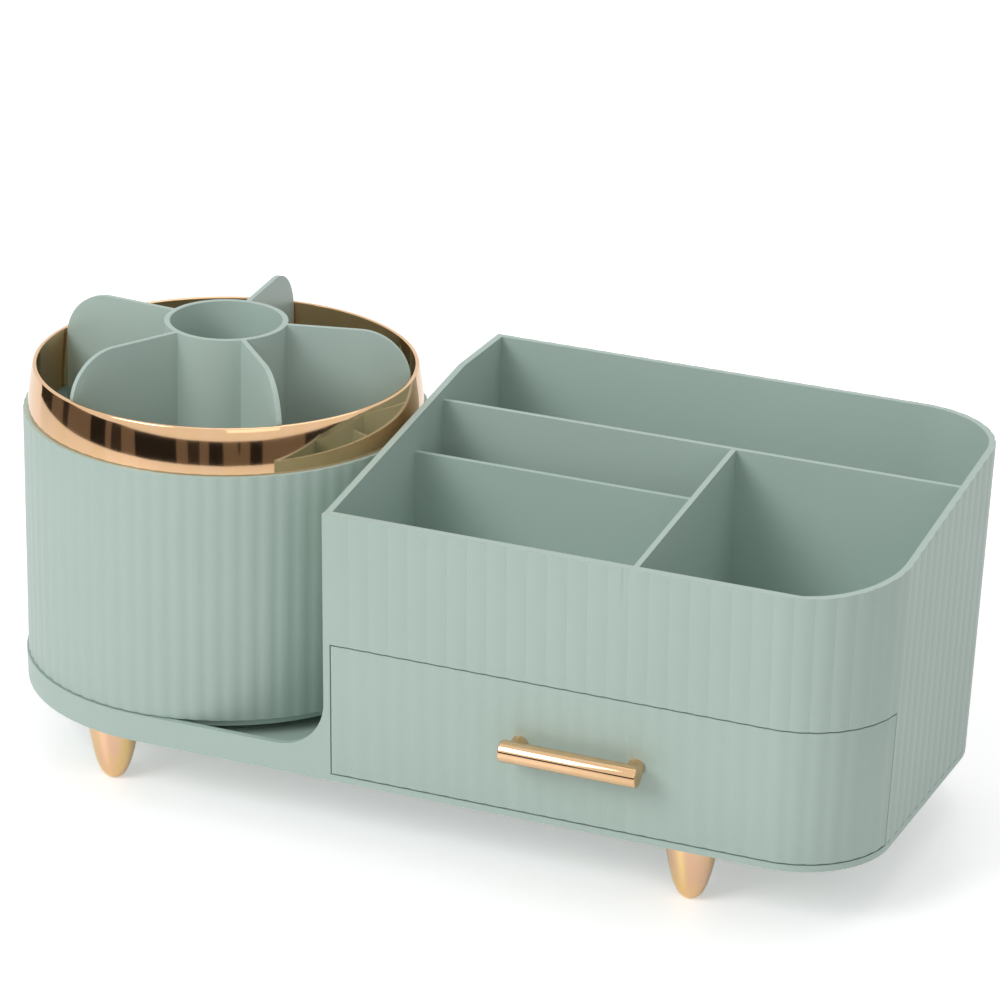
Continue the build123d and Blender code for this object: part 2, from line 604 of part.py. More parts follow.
# ---------------------------------------------------------------- drawer
def drawer_plan(inset):
    """Plan of the drawer's box: square at the left and round at the right, like the shell round it."""
    corner = CORNER_RADIUS - WALL - DRAWER_SIDE_GAP - inset
    left, right = DRAWER_LEFT_X + inset, DRAWER_RIGHT_X - inset
    front, back = FRONT_PANEL + inset, DRAWER_BACK_Y - inset
    edges = [
        Line((left, front), (right - corner, front)),
        CenterArc((right - corner, front + corner), corner, -90, 90),
        Line((right, front + corner), (right, back - corner)),
        CenterArc((right - corner, back - corner), corner, 0, 90),
        Line((right - corner, back), (left, back)),
        Line((left, back), (left, front)),
    ]
    return make_face(Curve() + edges)


def drawer_box():
    """Open box of the drawer, with two tabs on its back wall that meet the stop rib."""
    height = DRAWER_BOX_TOP - DRAWER_UNDERSIDE
    box = extrude(Pos(0, 0, DRAWER_UNDERSIDE) * drawer_plan(0), height)
    box -= extrude(Pos(0, 0, DRAWER_UNDERSIDE + DRAWER_FLOOR) * drawer_plan(DRAWER_WALL), height)
    for x in (DRAWER_LEFT_X + STOP_TAB_INSET, DRAWER_RIGHT_X - STOP_TAB_INSET):
        box += block(x - STOP_TAB_WIDTH / 2, x + STOP_TAB_WIDTH / 2, DRAWER_BACK_Y - STOP_TAB_THICKNESS,
                     DRAWER_BACK_Y, DRAWER_BOX_TOP - STOP_TAB_THICKNESS, SHELF_UNDERSIDE - SEAM)
    for x in post_places():
        box -= handle_screw(x, TALL)
    return box


def drawer_front():
    """Fluted front that continues the walls and wraps round the front corner."""
    low = BASE_STRIP + SEAM
    high = OPENING_TOP - SEAM
    panel = fluted_box(low, high)
    panel &= block(OPENING_X + SEAM, 2 * BASE_LENGTH, -BASE_DEPTH, OPENING_Y - SEAM, low, high)
    panel -= extrude(Pos(0, 0, low) * plan_face(FRONT_PANEL), high - low)
    for x in post_places():
        panel -= Pos(x, 0, HANDLE_Z) * Rot(90, 0, 0) * Cylinder(SCREW_RADIUS, 4 * FRONT_PANEL)
    return panel


def post_places():
    """The handle posts' places along x."""
    reach = HANDLE_LENGTH / 2 - POST_INSET
    return [HANDLE_X - reach, HANDLE_X + reach]


def post(x):
    """Solid post from the drawer's face to the middle of the handle's bar."""
    return Pos(x, (FACE_Y + BAR_Y) / 2, HANDLE_Z) * Rot(90, 0, 0) * Cylinder(POST_RADIUS, FACE_Y - BAR_Y)


def handle_screw(x, length):
    """Screw from inside the drawer through both walls into a post."""
    return Pos(x, FRONT_PANEL + DRAWER_WALL, HANDLE_Z) * Rot(-90, 0, 0) * screw(length)


def handle_bar():
    """Round bar of the handle, with sockets for its posts."""
    bar = Rot(0, 90, 0) * Cylinder(HANDLE_RADIUS, HANDLE_LENGTH)
    bar = chamfer(bar.edges().filter_by(GeomType.CIRCLE), HANDLE_EDGE)
    bar = Pos(HANDLE_X, BAR_Y, HANDLE_Z) * bar
    for x in post_places():
        bar -= post(x)
    return bar


def handle_posts():
    """The two posts, fitted to the fluted face and bored for the handle's screws."""
    front = fluted_box(HANDLE_Z - 2 * POST_RADIUS, HANDLE_Z + 2 * POST_RADIUS)
    return group(post(x) - front - handle_screw(x, HANDLE_SCREW_LENGTH + HOLE_SPARE) for x in post_places())


def handle_screws():
    """The two screws of the handle."""
    return group(handle_screw(x, HANDLE_SCREW_LENGTH) for x in post_places())


def drawer_rail(side):
    """L-shaped rail on the base plate: the drawer rides on its foot and its fence guides the side."""
    inner = rail_side(side) + side * RUN_CLEARANCE
    outer = inner + side * RAIL_FENCE
    foot_edge = outer - side * RAIL_WIDTH
    rail = block(min(foot_edge, outer), max(foot_edge, outer), RAIL_START_Y, RAIL_END_Y, BASE_PLATE, RAIL_TOP)
    rail += block(min(inner, outer), max(inner, outer), RAIL_START_Y, RAIL_END_Y,
                  BASE_PLATE, BASE_PLATE + RAIL_FENCE_HEIGHT)
    for y in rail_screw_ys():
        rail -= Pos(rail_screw_x(side), y, RAIL_TOP) * screw(TALL)
    return rail


def rail_side(side):
    """The drawer's left (-1) or right (1) side."""
    return DRAWER_LEFT_X if side < 0 else DRAWER_RIGHT_X


def rail_screw_x(side):
    """Middle of the part of a rail that lies under the drawer."""
    return rail_side(side) - side * (RAIL_WIDTH - RAIL_FENCE) / 2


def rail_screw_ys():
    """The rail screws' places along y."""
    return [RAIL_START_Y + RAIL_SCREW_INSET, RAIL_END_Y - RAIL_SCREW_INSET]


def rail_screw_places():
    """Plan places of the rails' screws."""
    return [(rail_screw_x(side), y) for side in (-1, 1) for y in rail_screw_ys()]


def rail_screws():
    """Screws down through the rails into the base plate."""
    return group(Pos(x, y, RAIL_TOP) * screw(RAIL_SCREW_LENGTH) for x, y in rail_screw_places())


# ---------------------------------------------------------------- export
def all_pieces():
    """Every node by name."""
    pieces = {
        "body_shell": body_shell(),
        "base_plate": base_plate(),
        "base_screws": base_screws(),
        "foot_screws": foot_screws(),
        "drum_shell": drum_shell(),
        "turntable": turntable(),
        "drum_screws": drum_screws(),
        "ball_cage": ball_cage(),
        "bearing_balls": bearing_balls(),
        "spindle_washer": spindle_washer(),
        "spindle_screw": spindle_screw(),
        "gold_ring": gold_ring(),
        "divider_insert": divider_insert(),
        "drawer_box": drawer_box(),
        "drawer_front": drawer_front(),
        "handle_bar": handle_bar(),
        "handle_posts": handle_posts(),
        "handle_screws": handle_screws(),
        "drawer_rail_left": drawer_rail(-1),
        "drawer_rail_right": drawer_rail(1),
        "rail_screws": rail_screws(),
    }
    for name, (x, y) in FEET.items():
        pieces[name] = foot(x, y)
    return pieces


def main():
    """Build, move the origin under the middle of the whole and write one file per node."""
    os.makedirs("parts", exist_ok=True)
    pieces = all_pieces()
    boxes = [piece.bounding_box() for piece in pieces.values()]
    middle_x = (min(box.min.X for box in boxes) + max(box.max.X for box in boxes)) / 2
    middle_y = (min(box.min.Y for box in boxes) + max(box.max.Y for box in boxes)) / 2
    for name, piece in pieces.items():
        export_step(Pos(-middle_x, -middle_y, FOOT_HEIGHT) * piece, f"parts/{name}.step")
    print("origin at", middle_x, middle_y, -FOOT_HEIGHT)
    print("drum axis", DRUM_X - middle_x, DRUM_Y - middle_y, "drawer travel", DRAWER_TRAVEL)


main()
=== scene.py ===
# %% [markdown]
# # A rotating makeup organizer, dressed in Blender
# The organizer is an oval tray with a fluted brush drum that turns on it, and a fluted box with open
# compartments above one drawer. Its pieces were designed to size elsewhere and arrive here as a fixed frame.
# This lesson mixes a finish for every material, rounds the mouldings' edges as a mould would, spins the
# plated trim and the feet, and lights the result. Blender's scene is in metres, in the frame's own axes.
# Small sizes are written in millimetres here, and MM turns them to metres where they reach Blender.

# %% Load the frame
import json
import math

import bmesh
import bpy
from mathutils import Matrix, Vector


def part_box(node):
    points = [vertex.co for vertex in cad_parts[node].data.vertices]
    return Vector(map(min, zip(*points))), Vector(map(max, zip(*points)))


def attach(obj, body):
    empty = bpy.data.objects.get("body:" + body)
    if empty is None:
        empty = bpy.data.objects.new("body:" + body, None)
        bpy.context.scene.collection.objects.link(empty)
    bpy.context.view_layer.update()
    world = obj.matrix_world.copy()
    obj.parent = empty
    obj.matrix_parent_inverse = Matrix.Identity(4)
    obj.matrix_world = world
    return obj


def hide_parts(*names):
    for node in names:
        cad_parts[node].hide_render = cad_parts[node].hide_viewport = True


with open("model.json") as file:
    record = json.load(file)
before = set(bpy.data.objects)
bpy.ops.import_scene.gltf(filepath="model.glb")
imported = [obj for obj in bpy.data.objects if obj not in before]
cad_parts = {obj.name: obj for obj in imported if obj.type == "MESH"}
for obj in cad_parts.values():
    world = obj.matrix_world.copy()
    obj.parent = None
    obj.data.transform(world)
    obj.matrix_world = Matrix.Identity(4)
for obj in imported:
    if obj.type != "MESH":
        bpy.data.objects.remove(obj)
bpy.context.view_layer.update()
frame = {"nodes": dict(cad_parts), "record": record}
MM = 0.001

# %% [markdown]
# ## Camera
# A product shot like this is taken from about 1.7 metres with a long lens, so that the box hardly narrows
# towards the back. The camera stands to the right of the drawer and looks down on the rims. A Track To
# constraint could aim it, but would keep the horizon level. So it is aimed by three turns: round the
# vertical, down from the horizon, and a slight roll of the horizon.

# %% Camera
CAMERA_PLACE = Vector((609.21, -1441.02, 730.85)) * MM
CAMERA_TURN = -0.3950    # radians from +Y, to the left
CAMERA_DOWN = 0.3796
CAMERA_ROLL = 0.0216
CAMERA_LENS = 173.16
CAMERA_SENSOR = 36
CAMERA_REACH = 20        # metres


def aimed(turn, down, roll):
    """Rotation of a camera from its three turns, as a matrix whose columns are right, up and backwards."""
    right = Vector((math.cos(turn), -math.sin(turn), 0))
    ahead = Vector((math.sin(turn) * math.cos(down), math.cos(turn) * math.cos(down), -math.sin(down)))
    up = right.cross(ahead)
    rolled_right = math.cos(roll) * right + math.sin(roll) * up
    rolled_up = math.cos(roll) * up - math.sin(roll) * right
    return Matrix((rolled_right, rolled_up, -ahead)).transposed()


camera_data = bpy.data.cameras.new("camera")
camera_data.lens = CAMERA_LENS
camera_data.sensor_width = CAMERA_SENSOR
camera_data.clip_end = CAMERA_REACH
camera = bpy.data.objects.new("camera", camera_data)
bpy.context.scene.collection.objects.link(camera)
camera_aim = aimed(CAMERA_TURN, CAMERA_DOWN, CAMERA_ROLL).to_4x4()
camera.matrix_world = Matrix.Translation(CAMERA_PLACE) @ camera_aim
bpy.context.scene.camera = camera
print("camera is", round(CAMERA_PLACE.length, 2), "m away")

# %% [markdown]
# ## Helpers for finishes
# Colours are written as the familiar hex codes, which are sRGB, while Blender's nodes work on linear light,
# so one function converts them. Patterns are sized in millimetres: a noise that should repeat every so many
# millimetres has a scale of one over that length in metres, because Object coordinates are in metres. A node
# could be set up with a line for each setting, but every finish needs several nodes, so one function adds a
# node, sets it up and links it in a single call.

# %% Finish helpers
def colour(code):
    """Linear colour of an sRGB hex code such as 'A0B4C8'."""
    channels = [int(code[place:place + 2], 16) / 255 for place in (0, 2, 4)]
    return [c / 12.92 if c <= 0.04045 else ((c + 0.055) / 1.055) ** 2.4 for c in channels] + [1]


def per_mm(length):
    """Texture scale for a pattern that repeats every so many millimetres."""
    return 1 / (length * MM)


def add_node(material, kind, settings=None, values=None, links=None):
    """Add a node, set its properties and socket values, and link its sockets to other nodes' outputs."""
    node = material.node_tree.nodes.new(kind)
    for name, value in (settings or {}).items():
        setattr(node, name, value)
    for name, value in (values or {}).items():
        node.inputs[name].default_value = value
    for name, output in (links or {}).items():
        material.node_tree.links.new(output, node.inputs[name])
    return node


MIX_FIRST, MIX_SECOND, MIX_OUT = 6, 7, 2    # a Mix node's colour sockets, which share their names with others


def new_material(name, base, **sockets):
    """Material whose plain shader sockets are set, with its Principled shader and its Object coordinates."""
    material = bpy.data.materials.new(name)
    material.use_nodes = True
    shader = material.node_tree.nodes["Principled BSDF"]
    shader.inputs["Base Color"].default_value = base
    for socket, value in sockets.items():
        shader.inputs[socket.replace("_", " ")].default_value = value
    place = add_node(material, "ShaderNodeTexCoord").outputs["Object"]
    return material, shader, place


def link(material, output, socket):
    """Link an output to a socket."""
    material.node_tree.links.new(output, socket)


# %% [markdown]
# ## Sage ABS
# The tray, box, drum and drawer are injection-moulded ABS in a greyed green. The mould is spark-eroded, so
# the surface has a very fine grain that spreads highlights into a satin sheen. Roughness alone could give
# that sheen, but would look like paint. So three things give it: a middling roughness that wanders a little
# where the resin flowed, a grain a few tenths of a millimetre across as bump, which is drawn a little
# coarser than the real one so that it shows, and a barely visible drift of the colour over several
# centimetres. The drawer's rails and the ball cage are white polypropylene and look alike, but duller.

# %% Sage ABS and white polypropylene
PLASTIC_IOR = 1.53
DRIFT_MM = 60
FLOW_MM = 25
FLOW_SMOOTHER, FLOW_ROUGHER = 0.04, 0.05
GRAIN_STRENGTH = 0.5


def moulded_plastic(name, base, shade, roughness, grain_mm, grain_depth_mm):
    """Satin moulded plastic: base and shade are the ends of the colour's slow drift."""
    material, shader, place = new_material(name, colour(base), IOR=PLASTIC_IOR, Roughness=roughness)
    drift = add_node(material, "ShaderNodeTexNoise", None, {"Scale": per_mm(DRIFT_MM), "Detail": 2},
                     {"Vector": place})
    tint = add_node(material, "ShaderNodeMix", {"data_type": "RGBA"},
                    {MIX_FIRST: colour(base), MIX_SECOND: colour(shade)}, {"Factor": drift.outputs["Fac"]})
    link(material, tint.outputs[MIX_OUT], shader.inputs["Base Color"])
    flow = add_node(material, "ShaderNodeTexNoise", None, {"Scale": per_mm(FLOW_MM), "Detail": 3},
                    {"Vector": place})
    sheen = add_node(material, "ShaderNodeMapRange", None,
                     {"To Min": roughness - FLOW_SMOOTHER, "To Max": roughness + FLOW_ROUGHER},
                     {"Value": flow.outputs["Fac"]})
    link(material, sheen.outputs["Result"], shader.inputs["Roughness"])
    grain = add_node(material, "ShaderNodeTexNoise", None, {"Scale": per_mm(grain_mm), "Detail": 2},
                     {"Vector": place})
    bump = add_node(material, "ShaderNodeBump", None,
                    {"Strength": GRAIN_STRENGTH, "Distance": grain_depth_mm * MM},
                    {"Height": grain.outputs["Fac"]})
    link(material, bump.outputs["Normal"], shader.inputs["Normal"])
    return material


SAGE = {"base": "AEC1B9", "shade": "A8BBB2", "roughness": 0.40, "grain_mm": 0.8, "grain_depth_mm": 0.02}
WHITE = {"base": "DEDEDA", "shade": "D2D2CC", "roughness": 0.45, "grain_mm": 1.2, "grain_depth_mm": 0.02}
sage_abs = moulded_plastic("sage_satin_abs", **SAGE)
white_pp = moulded_plastic("white_moulded_polypropylene", **WHITE)
print("mixed", sage_abs.name, "and", white_pp.name)

# %% [markdown]
# ## The shell's sink mark
# Where the long divider meets the front wall the plastic is thicker, cools last and shrinks. That leaves a
# faint upright dent outside, just under the rim, which moulders call a sink mark. It could be pressed into
# the mesh, but the wall there is made of long strips, and the dent is only a fifth of a millimetre deep. So
# the shell gets its own copy of the sage, in which a second bump follows the distance from the divider's
# line. It fades out downwards and stops behind the face of the front wall.

# %% Shell ABS
SINK_X = 83
SINK_HALF_WIDTH = 1.2
SINK_Z = (106, 118)    # the dent fades in from the lower height to the upper one
SINK_Y = -69           # just behind the front wall's face
SINK_DEPTH = 0.2
shell_abs = moulded_plastic("sage_satin_abs_shell", **SAGE)
shell_shader = shell_abs.node_tree.nodes["Principled BSDF"]
grain_normal = shell_shader.inputs["Normal"].links[0].from_socket
shell_place = add_node(shell_abs, "ShaderNodeTexCoord").outputs["Object"]
along = add_node(shell_abs, "ShaderNodeSeparateXYZ", None, None, {"Vector": shell_place})
aside = add_node(shell_abs, "ShaderNodeMath", {"operation": "SUBTRACT"}, {1: SINK_X * MM},
                 {0: along.outputs["X"]})
distance = add_node(shell_abs, "ShaderNodeMath", {"operation": "ABSOLUTE"}, None, {0: aside.outputs[0]})
dent = add_node(shell_abs, "ShaderNodeMapRange", {"interpolation_type": "SMOOTHSTEP"},
                {"From Max": SINK_HALF_WIDTH * MM, "To Min": 1, "To Max": 0}, {"Value": distance.outputs[0]})
fade = add_node(shell_abs, "ShaderNodeMapRange", {"interpolation_type": "SMOOTHSTEP"},
                {"From Min": SINK_Z[0] * MM, "From Max": SINK_Z[1] * MM}, {"Value": along.outputs["Z"]})
in_front = add_node(shell_abs, "ShaderNodeMath", {"operation": "LESS_THAN"}, {1: SINK_Y * MM},
                    {0: along.outputs["Y"]})
faded = add_node(shell_abs, "ShaderNodeMath", {"operation": "MULTIPLY"}, None,
                 {0: dent.outputs["Result"], 1: fade.outputs["Result"]})
mark = add_node(shell_abs, "ShaderNodeMath", {"operation": "MULTIPLY"}, None,
                {0: faded.outputs[0], 1: in_front.outputs[0]})
sink = add_node(shell_abs, "ShaderNodeBump", {"invert": True}, {"Strength": 1, "Distance": SINK_DEPTH * MM},
                {"Height": mark.outputs[0], "Normal": grain_normal})
link(shell_abs, sink.outputs["Normal"], shell_shader.inputs["Normal"])
print("sink mark", 2 * SINK_HALF_WIDTH, "mm wide")

# %% [markdown]
# ## Rose gold
# The drum's ring and the handle are plated: a mirror of pale rose gold over a polished undercoat. A metal
# has no diffuse colour, so all it shows is the room, tinted. One colour and one roughness could do for it,
# but plating is never so even. A shallow swell about a centimetre long makes its reflections waver, and its
# gloss is smeared by polishing. Faint upright streaks of painted reflection are mixed into its colour, in
# place of the bands that tall studio lights leave on a mirror. The feet are plated over a duller undercoat.
# So theirs is the same plating, but rougher, with a shorter swell and plainer painted reflection streaks
# that run from rose to yellow.

# %% Rose gold
# Painted reflection: upright streaks in the base colour stand in for the bands of studio lights on a mirror.
REFLECTION_STREAK_MM = 6
REFLECTION_STREAK_STRETCH = 0.08            # the streaks are this much slower upwards than across
REFLECTION_STREAK_EDGES = (0.38, 0.62)
SMEAR_MM = 18
SMEAR_SMOOTHER, SMEAR_ROUGHER = 0.7, 1.4
SWELL_STRENGTH = 0.4


def plated(name, base, reflection_tint, roughness, swell_mm, swell_depth_mm):
    """Rose gold plating with a wavering surface, whose colour moves between two golds in upright streaks of
    painted reflection.
    """
    material, shader, place = new_material(name, colour(base), Metallic=1.0, Roughness=roughness)
    # Painted reflection: the colour moves between the two golds in upright streaks.
    upright = add_node(material, "ShaderNodeMapping", None, {"Scale": (1, 1, REFLECTION_STREAK_STRETCH)},
                       {"Vector": place})
    streaks = add_node(material, "ShaderNodeTexNoise", None, {"Scale": per_mm(REFLECTION_STREAK_MM), "Detail": 1},
                       {"Vector": upright.outputs["Vector"]})
    share = add_node(material, "ShaderNodeMapRange", None,
                     {"From Min": REFLECTION_STREAK_EDGES[0], "From Max": REFLECTION_STREAK_EDGES[1]},
                     {"Value": streaks.outputs["Fac"]})
    painted_reflection_tone = add_node(material, "ShaderNodeMix", {"data_type": "RGBA"},
                    {MIX_FIRST: colour(base), MIX_SECOND: colour(reflection_tint)}, {"Factor": share.outputs["Result"]})
    link(material, painted_reflection_tone.outputs[MIX_OUT], shader.inputs["Base Color"])
    smear = add_node(material, "ShaderNodeTexNoise", None, {"Scale": per_mm(SMEAR_MM), "Detail": 4},
                     {"Vector": place})
    gloss = add_node(material, "ShaderNodeMapRange", None,
                     {"To Min": roughness * SMEAR_SMOOTHER, "To Max": roughness * SMEAR_ROUGHER},
                     {"Value": smear.outputs["Fac"]})
    link(material, gloss.outputs["Result"], shader.inputs["Roughness"])
    swell = add_node(material, "ShaderNodeTexNoise", None, {"Scale": per_mm(swell_mm), "Detail": 1},
                     {"Vector": place})
    bump = add_node(material, "ShaderNodeBump", None,
                    {"Strength": SWELL_STRENGTH, "Distance": swell_depth_mm * MM},
                    {"Height": swell.outputs["Fac"]})
    link(material, bump.outputs["Normal"], shader.inputs["Normal"])
    return material


# The second gold of each is the far end of its painted reflection streaks.
mirror_gold = plated("rose_gold_bright_plating", "E6BE96", "E4BC90", 0.06, 14, 0.06)
satin_gold = plated("rose_gold_satin_plating", "EBC0A0", "EECB90", 0.14, 3, 0.03)
print("mixed", mirror_gold.name, "and", satin_gold.name)

# %% [markdown]
# ## Screws and balls
# The screws are zinc-plated steel: bluish, a little cloudy, with patches where the plating took unevenly.
# The balls under the drum are hardened bearing steel, ground and polished. Screws and balls are too small
# for more than one pattern to show, so a noise that varies the gloss does for both.

# %% Steels
def steel(name, base, dull, shiny, patch_mm):
    """Bare or plated steel whose gloss changes in patches."""
    material, shader, place = new_material(name, colour(base), Metallic=1.0)
    patches = add_node(material, "ShaderNodeTexNoise", None, {"Scale": per_mm(patch_mm), "Detail": 5},
                       {"Vector": place})
    gloss = add_node(material, "ShaderNodeMapRange", None, {"To Min": shiny, "To Max": dull},
                     {"Value": patches.outputs["Fac"]})
    link(material, gloss.outputs["Result"], shader.inputs["Roughness"])
    return material


zinc_steel = steel("zinc_plated_steel", "C3C6CC", 0.42, 0.22, 2.0)
bearing_steel = steel("polished_bearing_steel", "CFCFD2", 0.14, 0.06, 3.0)
FINISHES = {
    "sage_plastic": sage_abs,
    "gold_plating": mirror_gold,
    "gold_feet": satin_gold,
    "gold_metal": mirror_gold,
    "steel": zinc_steel,
    "bearing_steel": bearing_steel,
    "inner_plastic": white_pp,
}
SLOT_OF = {part["node"]: part["material_slot"] for part in frame["record"]["subparts"]}
BODY_OF = {node: body for body, nodes in frame["record"]["behaviour"]["bodies"].items() for node in nodes}
for node, cad_object in frame["nodes"].items():
    cad_object.data.materials.clear()
    cad_object.data.materials.append(FINISHES[SLOT_OF[node]])
print("finished", len(SLOT_OF), "nodes in", len(FINISHES), "finishes")

# %% [markdown]
# ## Rounding moulded edges
# No moulding has a knife edge: every rim and corner is rounded by a few tenths of a millimetre, and that
# thin line of light along each rim is what makes a render look like plastic. The frame's meshes are exact
# but sharp. A Bevel shader node could fake the line, but would leave the mesh as it is. So each moulded part
# is copied, its loose triangles are merged and its flat faces dissolved, and a Bevel modifier rounds every
# edge that turns by more than the crest between two flutes does. The copies bring fixed normals with them,
# which blur those crests, so they are cleared. The shell's flutes have the fewest facets and turn least at
# their crests, so its faces are smoothed up to a smaller angle than the others'.

# %% Rounded copies of the mouldings
def only(piece):
    """Deselect everything and make one object selected and active."""
    bpy.ops.object.select_all(action="DESELECT")
    piece.select_set(True)
    bpy.context.view_layer.objects.active = piece


def dress(piece, *nodes):
    """Give a finished piece the finish and body of the nodes that it stands for, and hide those nodes."""
    piece.data.materials.clear()
    piece.data.materials.append(FINISHES[SLOT_OF[nodes[0]]])
    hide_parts(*nodes)
    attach(piece, BODY_OF[nodes[0]])


MERGE_REACH = 0.002
FLAT_TURN_DEG = 0.3
MOULD_TURN_DEG = 35
MOULD_SEGMENTS = 3


def moulded_copy(node, radius_mm, smooth_deg):
    """A copy of a node's mesh with its sharp edges rounded, smooth where it turns by less than an angle."""
    piece = bpy.data.objects.new(node + "_moulding", frame["nodes"][node].data.copy())
    bpy.context.scene.collection.objects.link(piece)
    only(piece)
    bpy.ops.object.mode_set(mode="EDIT")
    bpy.ops.mesh.select_all(action="SELECT")
    bpy.ops.mesh.remove_doubles(threshold=MERGE_REACH * MM)
    bpy.ops.mesh.dissolve_limited(angle_limit=math.radians(FLAT_TURN_DEG))
    bpy.ops.object.mode_set(mode="OBJECT")
    bevel = piece.modifiers.new("mould_radius", "BEVEL")
    bevel.width = radius_mm * MM
    bevel.segments = MOULD_SEGMENTS
    bevel.limit_method = "ANGLE"
    bevel.angle_limit = math.radians(MOULD_TURN_DEG)
    bevel.miter_outer = "MITER_ARC"
    bpy.ops.object.modifier_apply(modifier=bevel.name)
    bpy.ops.mesh.customdata_custom_splitnormals_clear()
    bpy.ops.object.shade_smooth_by_angle(angle=math.radians(smooth_deg))
    dress(piece, node)
    return piece


MOULDINGS = (    # node, radius of its edges, and angle up to which it is smooth
    ("body_shell", 0.5, 10),
    ("drum_shell", 0.6, 20),
    ("divider_insert", 0.5, 20),
    ("drawer_front", 0.35, 20),
    ("drawer_box", 0.4, 20),
)
for node, radius_mm, smooth_deg in MOULDINGS:
    piece = moulded_copy(node, radius_mm, smooth_deg)
    if node == "body_shell":
        piece.data.materials[0] = shell_abs
    print(piece.name, len(piece.data.polygons), "faces")

# %% [markdown]
# ## Lathe work
# The ring, the feet and the handle's posts are round. They could be cylinders that are scaled and inset, but
# their outlines have steps and curves, so each is drawn as half a section and spun. The section starts as a
# circle with as many points as the drawing has corners. Each point is moved to its corner, the corners that
# are rounded on the real piece get a vertex bevel, and Spin sweeps the outline.

# %% Spin helper
CORNER_REACH = 0.01
CORNER_SEGMENTS = 8
SEAM_REACH = 0.005
METAL_SMOOTH_DEG = 30


def select_corner(piece, place):
    """In edit mode, select only the vertices at a place."""
    bpy.ops.mesh.select_all(action="DESELECT")
    mesh = bmesh.from_edit_mesh(piece.data)
    for vertex in mesh.verts:
        vertex.select = (vertex.co - place).length < CORNER_REACH * MM
    mesh.select_flush_mode()
    bmesh.update_edit_mesh(piece.data)


def spun(name, corners_mm, middle, rounds_mm, steps):
    """Turn a section of (radius, height) corners round the vertical through a point, some of them rounded."""
    bpy.ops.object.select_all(action="DESELECT")
    bpy.ops.mesh.primitive_circle_add(vertices=len(corners_mm), radius=MM)
    piece = bpy.context.active_object
    piece.name = name
    places = [middle + Vector((radius * MM, 0, height * MM)) for radius, height in corners_mm]
    for vertex, place in zip(piece.data.vertices, places):
        vertex.co = place
    bpy.ops.object.mode_set(mode="EDIT")
    for index, radius_mm in rounds_mm.items():
        select_corner(piece, places[index])
        bpy.ops.mesh.bevel(offset=radius_mm * MM, segments=CORNER_SEGMENTS, affect="VERTICES")
    bpy.ops.mesh.select_all(action="SELECT")
    bpy.ops.mesh.spin(steps=steps, angle=math.tau, center=middle, axis=(0, 0, 1))
    bpy.ops.mesh.select_all(action="SELECT")
    bpy.ops.mesh.remove_doubles(threshold=SEAM_REACH * MM)
    bpy.ops.mesh.normals_make_consistent(inside=False)
    bpy.ops.object.mode_set(mode="OBJECT")
    bpy.ops.object.shade_smooth_by_angle(angle=math.radians(METAL_SMOOTH_DEG))
    return piece


# %% [markdown]
# ## The plated ring
# The ring leans in towards its top and swells a little between its edges, like a barrel. On a mirror that
# swell matters more than any colour: the upper part reflects the ceiling, the middle the dark of the room
# and the foot the table. Below the drum's rim a spigot holds it inside the wall. Its edges are rounded,
# because plating never takes on a sharp edge. The side could be one straight line, but then the whole band
# would mirror the same height of the room. So it is drawn as nine points on a shallow curve.

# %% Ring
ring_low, ring_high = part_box("gold_ring")
ring_middle = Vector(((ring_low.x + ring_high.x) / 2, (ring_low.y + ring_high.y) / 2, 0))
RING_FOOT = (ring_high.x - ring_low.x) / 2 / MM
RING_TOP = ring_high.z / MM
RING_RISE = 16.6
RING_LEAN = 2.1
RING_SWELL = 0.4
RING_WALL = 1.4
RING_MOUTH = RING_FOOT - RING_LEAN - RING_WALL
RING_SPIGOT = RING_FOOT - RING_WALL
RING_BORE = RING_FOOT - 2 * RING_WALL
LEDGE_ROUND = 0.25
RIM_ROUND = 0.5
SIDE_STEPS = 8
RING_STEPS = 180
LEDGE_CORNER = 3
RIM_CORNER = LEDGE_CORNER + SIDE_STEPS
ring_ledge = RING_TOP - RING_RISE
side = []
for step in range(SIDE_STEPS + 1):
    share = step / SIDE_STEPS
    side.append((RING_FOOT - RING_LEAN * share + 4 * RING_SWELL * share * (1 - share),
                 ring_ledge + RING_RISE * share))
ring = spun("plated_ring", [
    (RING_BORE, ring_low.z / MM),
    (RING_SPIGOT, ring_low.z / MM),
    (RING_SPIGOT, ring_ledge),
    *side,
    (RING_MOUTH, RING_TOP),
    (RING_BORE, ring_ledge),
], ring_middle, {LEDGE_CORNER: LEDGE_ROUND, RIM_CORNER: RIM_ROUND, RIM_CORNER + 1: RIM_ROUND}, RING_STEPS)
dress(ring, "gold_ring")
print("ring outside", RING_FOOT, "mm at its foot")

# %% [markdown]
# ## Feet
# Each foot is shaped like a bullet: nearly upright where it meets the base, and rounding over more and more
# quickly to a blunt tip. A half sphere on a cone could come near it, but would show where they join. A power
# curve has no such place: the height grows with the cube of the radius. The curve's points are the corners
# of a section, which is spun at the place of each foot in the frame.

# %% Feet
FOOT_TOP = 9.4
FOOT_POWER = 3.0
FOOT_STEPS = 20
FOOT_RIM_ROUND = 0.3
FOOT_SPIN_STEPS = 72
for node in ("foot_front_left", "foot_front_right", "foot_back_left", "foot_back_right"):
    low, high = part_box(node)
    height = (high.z - low.z) / MM
    middle = Vector(((low.x + high.x) / 2, (low.y + high.y) / 2, low.z))
    curve = [(FOOT_TOP * step / FOOT_STEPS, height * (step / FOOT_STEPS) ** FOOT_POWER)
             for step in range(FOOT_STEPS + 1)]
    section = curve + [(0, height)]
    foot = spun(node + "_bullet", section, middle, {FOOT_STEPS: FOOT_RIM_ROUND}, FOOT_SPIN_STEPS)
    dress(foot, node)
print("feet", round(height, 1), "mm high")

